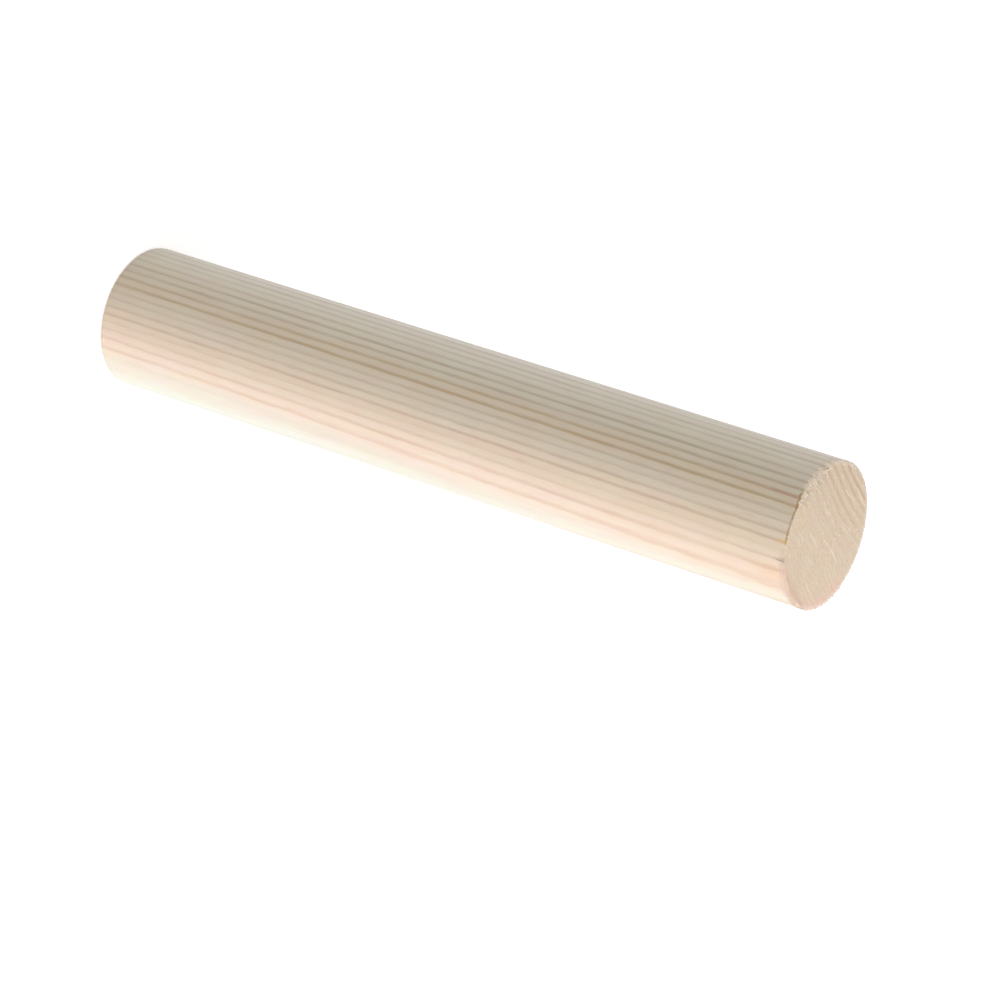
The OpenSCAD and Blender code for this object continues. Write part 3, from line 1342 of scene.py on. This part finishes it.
@dataclass
class DowelRod:
    """The rod itself: one closed mesh grown by a Geometry Nodes tree, with its notch cut in.

    The rows of faces along the side are crowded towards both ends, where the detail is. The
    flat map of the rod has the side in a strip above and the two sawn faces below it.
    """

    sizes: Sizes
    rim: Rim
    notch: SplinterNotch
    side: bpy.types.Material
    end: bpy.types.Material
    torn: bpy.types.Material
    rings: Tree
    wear: Tree
    around: int = 512
    along: int = 90
    edge_steps: int = 6
    crowded: float = 0.75
    weld: float = 0.004 * MM
    ridge: float = 0.012 * MM
    sawn: float = 0.05 * MM
    sawn_ridge: float = 0.12
    sawn_facing: Fade = (0.5, 0.95)
    end_facing: Slope = (0.0, 0.3, 0.75, 0.25)
    grit: Grain = Grain(0.7, 0.7)
    fray: Grain = Grain(0.4, 0.9)
    fray_depth: Fade = (0.6 * MM, 0.1 * MM)
    fray_usual: float = 0.12
    fray_lip: float = 0.45
    sharp_deg: float = 35.0
    strip_u: tuple[float, float] = (0.005, 0.995)
    strip_v: tuple[float, float] = (0.325, 0.995)
    strip_edge: float = 0.005
    disc_u: tuple[float, float] = (0.25, 0.75)
    disc_v: float = 0.160
    disc_radius: float = 0.155

    def shell(self, graph: Graph, start: bpy.types.Node) -> Socket:
        """Adds the side and both edge breaks: a flat strip rolled round the rod.

        Args:
            graph: The tree.
            start: The tree's input node.

        Returns:
            The strip, open at both sawn faces.
        """
        radius, length, edge = (start.outputs[name] for name in ("Radius", "Length", "Edge"))
        rows = 2 * self.edge_steps + self.along
        grid = graph.add("GeometryNodeMeshGrid", {"Vertices X": self.around + 1, "Vertices Y": rows + 1})
        x, y, _ = graph.split(graph.add("GeometryNodeInputPosition").outputs[0])
        row = graph.times(graph.plus(y, 0.5), float(rows))
        foot = graph.ramp(row, 0.0, float(self.edge_steps))
        middle = graph.ramp(row, float(self.edge_steps), float(self.edge_steps + self.along))
        head = graph.ramp(row, float(self.edge_steps + self.along), float(rows))
        swing = graph.math("SINE", graph.times(middle, math.tau))
        middle = graph.minus(middle, graph.times(swing, self.crowded / math.tau))
        edges = graph.times(graph.plus(foot, head), self.strip_edge)
        map_u = graph.blend(middle, 1.0 - 2 * self.strip_edge, edges)
        low, high = self.strip_u
        map_u = graph.blend(map_u, high - low, low)
        map_v = graph.ramp(x, -0.5, 0.5, *self.strip_v)
        mesh = self.mapped(graph, grid.outputs["Mesh"], map_u, map_v)

        around = graph.times(x, FULL_TURN_DEG)
        head_edge = graph.plus(edge, self.rim.extra_edge(graph, around, self.sizes, self.rings))
        foot_turn = graph.times(graph.minus(1.0, foot), math.pi / 2)
        head_turn = graph.times(head, math.pi / 2)
        foot_in = graph.times(edge, graph.minus(1.0, graph.math("COSINE", foot_turn)))
        head_in = graph.times(head_edge, graph.minus(1.0, graph.math("COSINE", head_turn)))
        reach = graph.minus(radius, graph.plus(foot_in, head_in))
        foot_up = graph.times(edge, graph.minus(1.0, graph.math("SINE", foot_turn)))
        head_up = graph.times(head_edge, graph.math("SINE", head_turn))
        straight = graph.minus(length, graph.plus(edge, head_edge))
        height = graph.plus(graph.blend(middle, straight, foot_up), head_up)
        angle = graph.math("RADIANS", around)
        place_x = graph.times(reach, graph.math("SINE", angle))
        place_y = graph.times(reach, graph.math("COSINE", angle), -1.0)
        return graph.moved(mesh, Position=graph.joined(place_x, place_y, height))

    def face(self, graph: Graph, start: bpy.types.Node, at_head: bool) -> Socket:
        """Adds one sawn face: a square grid drawn out to a disc.

        Args:
            graph: The tree.
            start: The tree's input node.
            at_head: Whether it is the head face, and not the foot face.

        Returns:
            The face, pointing out of the rod.
        """
        radius, length, edge = (start.outputs[name] for name in ("Radius", "Length", "Edge"))
        lines = self.around // 4 + 1
        counts = {"Size X": 2.0, "Size Y": 2.0, "Vertices X": lines, "Vertices Y": lines}
        grid = graph.add("GeometryNodeMeshGrid", counts)
        x, y, _ = graph.split(graph.add("GeometryNodeInputPosition").outputs[0])
        wide = graph.math("GREATER_THAN", graph.math("ABSOLUTE", x), graph.math("ABSOLUTE", y))
        eighth = math.pi / 4
        turn_wide = graph.times(graph.math("DIVIDE", y, x), eighth)
        turn_tall = graph.blend(graph.math("DIVIDE", x, y), -eighth, math.pi / 2)
        out = graph.chosen(wide, y, x)
        turn = graph.chosen(wide, turn_tall, turn_wide)
        unit_x = graph.times(out, graph.math("COSINE", turn))
        unit_y = graph.times(out, graph.math("SINE", turn))
        mirror = 1.0 if at_head else -1.0
        map_u = graph.blend(unit_x, self.disc_radius * mirror, self.disc_u[at_head])
        map_v = graph.blend(unit_y, self.disc_radius, self.disc_v)
        mesh = self.mapped(graph, grid.outputs["Mesh"], map_u, map_v)
        if at_head:
            around = self.rim.around(graph, graph.joined(unit_x, unit_y, 0.0))
            edge = graph.plus(edge, self.rim.extra_edge(graph, around, self.sizes, self.rings))
        reach = graph.minus(radius, edge)
        height = length if at_head else 0.0
        place = graph.joined(graph.times(unit_x, reach), graph.times(unit_y, reach), height)
        disc = graph.moved(mesh, Position=place)
        return disc if at_head else graph.add("GeometryNodeFlipFaces", {0: disc}).outputs[0]

    @staticmethod
    def mapped(graph: Graph, mesh: Socket, map_u: Socket, map_v: Socket) -> Socket:
        """Stores where each corner of a mesh lies on the flat map of the whole rod.

        Args:
            graph: The tree.
            mesh: The mesh.
            map_u: Where it lies across the map.
            map_v: Where it lies up the map.

        Returns:
            The mesh with its map.
        """
        settings = {"data_type": "FLOAT2", "domain": "CORNER"}
        values = {"Geometry": mesh, "Name": BAKE_MAP}
        store = graph.add("GeometryNodeStoreNamedAttribute", values, **settings)
        target = next(socket for socket in store.inputs if socket.name == "Value" and socket.enabled)
        graph.feed(target, graph.joined(map_u, map_v, 0.0))
        return store.outputs[0]

    def with_relief(self, graph: Graph, mesh: Socket) -> Socket:
        """Sinks the soft earlywood, roughens the sawn faces and frays their rims.

        Args:
            graph: The tree.
            mesh: The smooth rod.

        Returns:
            The same mesh with its points moved.
        """
        place = graph.add("GeometryNodeInputPosition").outputs[0]
        normal = graph.add("GeometryNodeInputNormal").outputs[0]
        ring = graph.use(self.rings, place)
        rim = graph.use(self.wear, place)
        place_mm = graph.scaled(place, 1 / MM)
        _, _, facing = graph.split(normal)
        sawn = graph.step(graph.math("ABSOLUTE", facing), *self.sawn_facing)
        soft = graph.minus(1.0, ring["Line"])
        planed_low = graph.times(soft, self.ridge)
        grit = graph.grain(place_mm, self.grit)
        uneven = graph.plus(graph.times(soft, self.sawn_ridge), graph.plus(grit, 0.5))
        low = graph.chosen(sawn, planed_low, graph.times(uneven, self.sawn))
        frayed = graph.grain(place_mm, self.fray)
        near = graph.step(rim["Rim"], *self.fray_depth)
        near = graph.plus(near, graph.times(rim["Lip"], self.fray_lip))
        frayed = graph.math("MAXIMUM", graph.plus(frayed, self.fray_usual), 0.0)
        fray = graph.times(frayed, near, self.rim.frayed)
        inwards = graph.times(graph.plus(low, fray), -1.0)
        sunk = graph.moved(mesh, Offset=graph.scaled(normal, inwards))
        x, y, _ = graph.split(place)
        flat = graph.joined(x, y, 0.0)
        out = graph.add("ShaderNodeVectorMath", {0: flat}, operation="NORMALIZE").outputs[0]
        return graph.moved(sunk, Offset=graph.scaled(out, graph.times(rim["Burr"], self.rim.burr_height)))

    def tree(self) -> Tree:
        """Builds the tree that grows the rod.

        Returns:
            The tree, whose inputs are the rod's sizes.
        """
        inputs = {"Geometry": SHAPE, "Radius": FLOAT, "Length": FLOAT, "Edge": FLOAT}
        graph, start, end = Graph.group("rod_body", TreeKind.GEOMETRY, inputs, {"Geometry": SHAPE})
        parts = [self.shell(graph, start), self.face(graph, start, False), self.face(graph, start, True)]
        join = graph.add("GeometryNodeJoinGeometry")
        for part in reversed(parts):
            graph.tree.links.new(part, join.inputs[0])
        values = {"Geometry": join.outputs[0], "Distance": self.weld}
        closed = graph.add("GeometryNodeMergeByDistance", values).outputs[0]
        uneven = self.with_relief(graph, closed)
        smooth = graph.add("GeometryNodeSetShadeSmooth", {"Geometry": uneven}).outputs[0]
        real = graph.add("GeometryNodeRealizeInstances", {"Geometry": smooth}).outputs[0]
        sided = graph.dressed(real, self.side)
        _, _, facing = graph.split(graph.add("GeometryNodeInputNormal").outputs[0])
        place = graph.add("GeometryNodeInputPosition").outputs[0]
        least = graph.ramp(graph.use(self.wear, place)["Lip"], *self.end_facing)
        flat = graph.math("GREATER_THAN", graph.math("ABSOLUTE", facing), least)
        return graph.gives(end, Geometry=graph.dressed(sided, self.end, Selection=flat))

    def build(self) -> bpy.types.Object:
        """Grows the rod and cuts its notch.

        Returns:
            The rod, as a plain mesh.
        """
        sizes = {"Radius": self.sizes.radius, "Length": self.sizes.length, "Edge": self.sizes.edge}
        rod = placed("planed_rod", grown(self.tree(), sizes, "planed_rod"))
        cutter = self.notch.cutter(self.sizes, self.torn)
        cut = rod.modifiers.new("notch", "BOOLEAN")
        cut.operation = "DIFFERENCE"
        cut.solver = "EXACT"
        cut.material_mode = "TRANSFER"
        cut.object = cutter
        view = bpy.context.evaluated_depsgraph_get()
        notched = bpy.data.meshes.new_from_object(rod.evaluated_get(view))
        rod.modifiers.remove(cut)
        rod.data = notched
        notched.set_sharp_from_angle(angle=math.radians(self.sharp_deg))
        bpy.data.objects.remove(cutter)
        return rod


@dataclass(frozen=True)
class FibreBand:
    """A stretch of a sawn face where the saw tore fibres up.

    The roots lie a little in from the rim and below the face. Each fibre leans outwards from
    the rod's axis, sideways round it and upwards, in the proportions of lean.
    """

    count: int
    around_deg: tuple[float, float]
    inset_mm: tuple[float, float]
    below_mm: float
    length_mm: tuple[float, float]
    width_mm: float
    lean: tuple[float, float, float]
    scatter: float
    at_head: bool = True


FIBRE_BANDS = (
    FibreBand(200, (-180.0, 180.0), (0.12, 0.24), 0.12, (0.26, 0.46), 0.045, (1.0, 0.0, 0.5), 0.5),
    FibreBand(70, (70.0, 148.0), (0.10, 0.24), 0.15, (0.30, 0.55), 0.07, (1.0, 0.0, 0.35), 0.4),
    FibreBand(110, (-180.0, 180.0), (0.12, 0.24), 0.20, (0.26, 0.42), 0.045, (1.0, 0.0, 0.3), 0.3, False),
    FibreBand(26, (-54.0, -18.0), (0.8, 2.8), 0.04, (0.80, 2.00), 0.12, (-0.95, -0.15, 0.17), 0.10),
    FibreBand(14, (-58.0, -24.0), (0.4, 1.3), 0.40, (0.40, 0.80), 0.09, (0.6, 0.3, 0.4), 0.35),
    FibreBand(60, (-180.0, 180.0), (0.5, 12.0), 0.05, (0.25, 0.70), 0.06, (-0.4, -0.2, 0.12), 0.3),
    FibreBand(4, (-59.0, -53.0), (0.2, 0.7), 0.0, (0.50, 0.90), 0.22, (0.2, -0.5, 0.25), 0.3),
)


@dataclass(frozen=True)
class TornFibres:
    """The fibres that the saw tore up and left standing at the two sawn faces.

    A fibre is a thin cone, flattened across. Each one's width is a chance share of its band's.
    """

    sizes: Sizes
    finish: bpy.types.Material
    bands: tuple[FibreBand, ...] = FIBRE_BANDS
    corners: int = 4
    taper: float = 0.25
    flat: float = 0.4
    widths: tuple[float, float] = (0.6, 1.2)
    least_rise: float = 0.05
    bend: float = 0.2 * MM
    bends_per_mm: float = 2.5
    seeds_per_band: int = 10

    def band(
        self, graph: Graph, start: bpy.types.Node, sliver: Socket, band: FibreBand, seed: int
    ) -> Socket:
        """Adds one band of fibres.

        Args:
            graph: The tree.
            start: The tree's input node.
            sliver: The fibre's shape, of unit width and length.
            band: Where the fibres stand and how they lean.
            seed: Where the band's chance comes from.

        Returns:
            The fibres, as instances.
        """
        around = graph.math("RADIANS", graph.chance(*band.around_deg, seed))
        out_x = graph.math("SINE", around)
        out_y = graph.times(graph.math("COSINE", around), -1.0)
        inset = graph.times(graph.chance(*band.inset_mm, seed + 1), MM)
        reach = graph.minus(start.outputs["Radius"], inset)
        below = band.below_mm * MM
        height = graph.minus(start.outputs["Length"], below) if band.at_head else below
        place = graph.joined(graph.times(out_x, reach), graph.times(out_y, reach), height)
        points = graph.add("GeometryNodePoints", {"Count": band.count, "Position": place})
        outwards, sideways, upwards = band.lean
        stray = [graph.chance(-band.scatter, band.scatter, seed + 2 + i) for i in range(3)]
        lean_x = graph.blend(out_x, outwards, graph.blend(out_y, -sideways, stray[0]))
        lean_y = graph.blend(out_y, outwards, graph.blend(out_x, sideways, stray[1]))
        rise = graph.math("MAXIMUM", graph.plus(stray[2], upwards), self.least_rise)
        lean = graph.joined(lean_x, lean_y, rise)
        turn = graph.add("FunctionNodeAlignRotationToVector", {"Vector": lean}, axis="Z").outputs[0]
        upright = {"Rotation": turn, "Vector": (0.0, 0.0, 1.0)}
        turn = graph.add("FunctionNodeAlignRotationToVector", upright, axis="X", pivot_axis="Z").outputs[0]
        long = graph.times(graph.chance(*band.length_mm, seed + 5), MM)
        wide = graph.times(graph.chance(*self.widths, seed + 6), band.width_mm * MM)
        values = {
            "Points": points.outputs[0],
            "Instance": sliver,
            "Rotation": turn,
            "Scale": graph.joined(graph.times(wide, self.flat), wide, long),
        }
        return graph.add("GeometryNodeInstanceOnPoints", values).outputs[0]

    def tree(self) -> Tree:
        """Builds the tree that grows the fibres.

        Returns:
            The tree, whose inputs are the rod's sizes.
        """
        inputs = {"Geometry": SHAPE, "Radius": FLOAT, "Length": FLOAT}
        graph, start, end = Graph.group("torn_fibres", TreeKind.GEOMETRY, inputs, {"Geometry": SHAPE})
        shape = {
            "Vertices": self.corners,
            "Side Segments": 2,
            "Radius Top": self.taper,
            "Radius Bottom": 1.0,
            "Depth": 1.0,
        }
        sliver = graph.add("GeometryNodeMeshCone", shape).outputs["Mesh"]
        join = graph.add("GeometryNodeJoinGeometry")
        for number, band in enumerate(self.bands):
            fibres = self.band(graph, start, sliver, band, self.seeds_per_band * number)
            graph.tree.links.new(fibres, join.inputs[0])
        real = graph.add("GeometryNodeRealizeInstances", {"Geometry": join.outputs[0]}).outputs[0]
        place_mm = graph.scaled(graph.add("GeometryNodeInputPosition").outputs[0], 1 / MM)
        sway = graph.wander(place_mm, self.bends_per_mm)
        bent = graph.moved(real, Offset=graph.scaled(sway, self.bend))
        return graph.gives(end, Geometry=graph.dressed(bent, self.finish))

    def build(self) -> bpy.types.Object:
        """Grows the fibres and returns them as one plain mesh."""
        sizes = {"Radius": self.sizes.radius, "Length": self.sizes.length}
        return placed("torn_fibres", grown(self.tree(), sizes, "torn_fibres"))


@dataclass(frozen=True)
class Lamp:
    """One soft box: where it stands, how wide it is, and how strong and what colour it is."""

    name: str
    place: tuple[float, float, float]
    width: float
    height: float
    watts: float
    colour: Colour = (1.0, 1.0, 1.0)

    def build(self, aim: Vector) -> None:
        """Adds the lamp.

        Args:
            aim: Where it points.
        """
        data = bpy.data.lights.new(self.name, "AREA")
        data.shape = "ELLIPSE"
        data.size, data.size_y = self.width, self.height
        data.energy = self.watts
        data.color = self.colour
        lamp = placed(self.name, data)
        lamp.location = self.place
        lamp.rotation_euler = (aim - lamp.location).to_track_quat("-Z", "Y").to_euler()


@dataclass(frozen=True)
class Camera:
    """The camera, from the side of the rod that it looks at and how it is held."""

    aim_beside_middle: tuple[float, float, float] = (0.01267, 0.00524, 0.00883)
    distance: float = 0.8098
    azimuth_deg: float = -1.05
    elevation_deg: float = 31.78
    roll_deg: float = -108.45
    lens_mm: float = 153.8

    def build(self, middle: Vector) -> None:
        """Adds the camera and makes it the scene's own.

        Args:
            middle: The middle of the rod.
        """
        azimuth, elevation = math.radians(self.azimuth_deg), math.radians(self.elevation_deg)
        level = math.cos(elevation)
        back = Vector((math.sin(azimuth) * level, -math.cos(azimuth) * level, math.sin(elevation)))
        right = Vector((0, 0, 1)).cross(back).normalized()
        up = back.cross(right)
        roll = Matrix.Rotation(math.radians(-self.roll_deg), 4, back)
        turned = roll @ Matrix((right, up, back)).transposed().to_4x4()
        aim = middle + Vector(self.aim_beside_middle)
        data = bpy.data.cameras.new("camera")
        data.lens = self.lens_mm
        camera = placed("camera", data)
        camera.matrix_world = Matrix.Translation(aim + back * self.distance) @ turned
        bpy.context.scene.camera = camera


@dataclass
class Studio:
    """The pale floor, the white surroundings and the lamps.

    Between the far floor's two distances from the rod, the floor turns white to the camera.
    """

    middle: Vector
    foot_radius: float
    floor_gap: float = 0.1 * MM
    floor_half_width: float = 3.0
    daylight: float = 0.38
    paper_glow: float = 0.42
    foot_glow: float = 0.9
    foot_inset: float = 0.2 * MM
    far_floor: Fade = (0.5, 1.1)
    paper: Colour = (0.9, 0.9, 0.9)
    covered_paper: Colour = (0.1, 0.1, 0.1)
    lamps: tuple[Lamp, ...] = (
        Lamp("key_lamp", (2.61, -0.92, 0.66), 2.8, 1.2, 57.0),
        Lamp("fill_lamp", (-2.75, 0.25, 0.66), 2.4, 1.2, 9.0),
        Lamp("top_lamp", (0.0, -0.1, 1.2), 0.8, 0.8, 5.5),
    )

    def seen(self, graph: Graph) -> Socket:
        """Marks what shows in the picture.

        Args:
            graph: The tree.

        Returns:
            1 for what the camera sees directly, mirrored or through glass.
        """
        path = graph.add("ShaderNodeLightPath")
        seen = graph.math("MAXIMUM", path.outputs["Is Camera Ray"], path.outputs["Is Glossy Ray"])
        return graph.math("MAXIMUM", seen, path.outputs["Is Transmission Ray"])

    def world(self) -> None:
        """Lights everything softly, and shows white to the camera and in reflections."""
        world = bpy.data.worlds.new("white_room")
        world.use_nodes = True
        graph = Graph(world.node_tree)
        strength = graph.blend(self.seen(graph), 1.0 - self.daylight, self.daylight)
        background = world.node_tree.nodes["Background"]
        background.inputs["Color"].default_value = (1.0, 1.0, 1.0, 1.0)
        graph.feed(background.inputs["Strength"], strength)
        bpy.context.scene.world = world

    def floor_material(self) -> bpy.types.Material:
        """Builds white paper that keeps a shadow, shows nothing from below and lights the foot.

        Returns:
            The material.
        """
        material = bpy.data.materials.new("white_paper")
        material.use_nodes = True
        graph = Graph(material.node_tree)
        shader = material.node_tree.nodes["Principled BSDF"]
        shader.inputs["Roughness"].default_value = 1.0
        shader.inputs["Specular IOR Level"].default_value = 0.0
        shader.inputs["Emission Color"].default_value = (1.0, 1.0, 1.0, 1.0)
        x, y, _ = graph.split(graph.add("ShaderNodeTexCoord").outputs["Object"])
        reach = graph.flat_length(x, y)
        covered = graph.step(reach, self.foot_radius, self.foot_radius - self.foot_inset)
        graph.feed(shader.inputs["Base Color"], graph.mixed(covered, self.paper, self.covered_paper))
        glow = graph.times(self.seen(graph), self.paper_glow)
        glow = graph.math("MAXIMUM", glow, graph.times(covered, self.foot_glow))
        direct = graph.add("ShaderNodeLightPath").outputs["Is Camera Ray"]
        glow = graph.math("MAXIMUM", glow, graph.times(direct, graph.step(reach, *self.far_floor)))
        graph.feed(shader.inputs["Emission Strength"], glow)
        below = graph.add("ShaderNodeNewGeometry").outputs["Backfacing"]
        clear = graph.add("ShaderNodeBsdfTransparent").outputs[0]
        both = graph.add("ShaderNodeMixShader", {0: below, 1: shader.outputs[0], 2: clear})
        output = material.node_tree.nodes["Material Output"]
        graph.feed(output.inputs["Surface"], both.outputs[0])
        return material

    def floor(self) -> None:
        """Lays the floor."""
        reach, height = self.floor_half_width, -self.floor_gap
        signs = ((-1, -1), (1, -1), (1, 1), (-1, 1))
        corners = [(x * reach, y * reach, height) for x, y in signs]
        mesh = bpy.data.meshes.new("floor")
        mesh.from_pydata(corners, [], [(0, 1, 2, 3)])
        mesh.materials.append(self.floor_material())
        floor = placed("floor", mesh)

    def build(self) -> None:
        """Sets the whole studio up."""
        bpy.context.scene.view_settings.view_transform = "Standard"
        self.world()
        self.floor()
        for lamp in self.lamps:
            lamp.build(self.middle)


def main() -> None:
    """Builds the rod, its finish and the studio round it."""
    logging.basicConfig(level=logging.INFO, format="%(name)s: %(message)s")
    sizes = Sizes.from_frame()
    low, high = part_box(NODE)
    middle = (low + high) / 2
    Camera().build(middle)
    Studio(middle, sizes.radius - sizes.edge).build()
    timber = Timber(mid_height_mm=middle.z / MM)
    rim = Rim()
    shown = timber.ring_field(TreeKind.SHADER)
    fields = WoodFields(
        rings=shown,
        fibres=timber.fibre_field(TreeKind.SHADER),
        rim=rim.field(TreeKind.SHADER, sizes, shown),
        tint=WoodTintAndPaintedLight().build(),
        edges=rim,
    )
    side, end = SideGrain().build(fields), EndGrain().build(fields)
    torn, fuzz = TORN_NOTCH.build(fields), TORN_FIBRE.build(fields)
    felt = timber.ring_field(TreeKind.GEOMETRY)
    wear = rim.field(TreeKind.GEOMETRY, sizes, felt)
    rod = DowelRod(sizes, rim, SplinterNotch(), side, end, torn, felt, wear).build()
    fibres = TornFibres(sizes, fuzz).build()
    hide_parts(NODE)
    for piece in (rod, fibres):
        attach(piece, BODY)
        log.info("%s: %d faces", piece.name, len(piece.data.polygons))


if __name__ == "__main__":
    main()
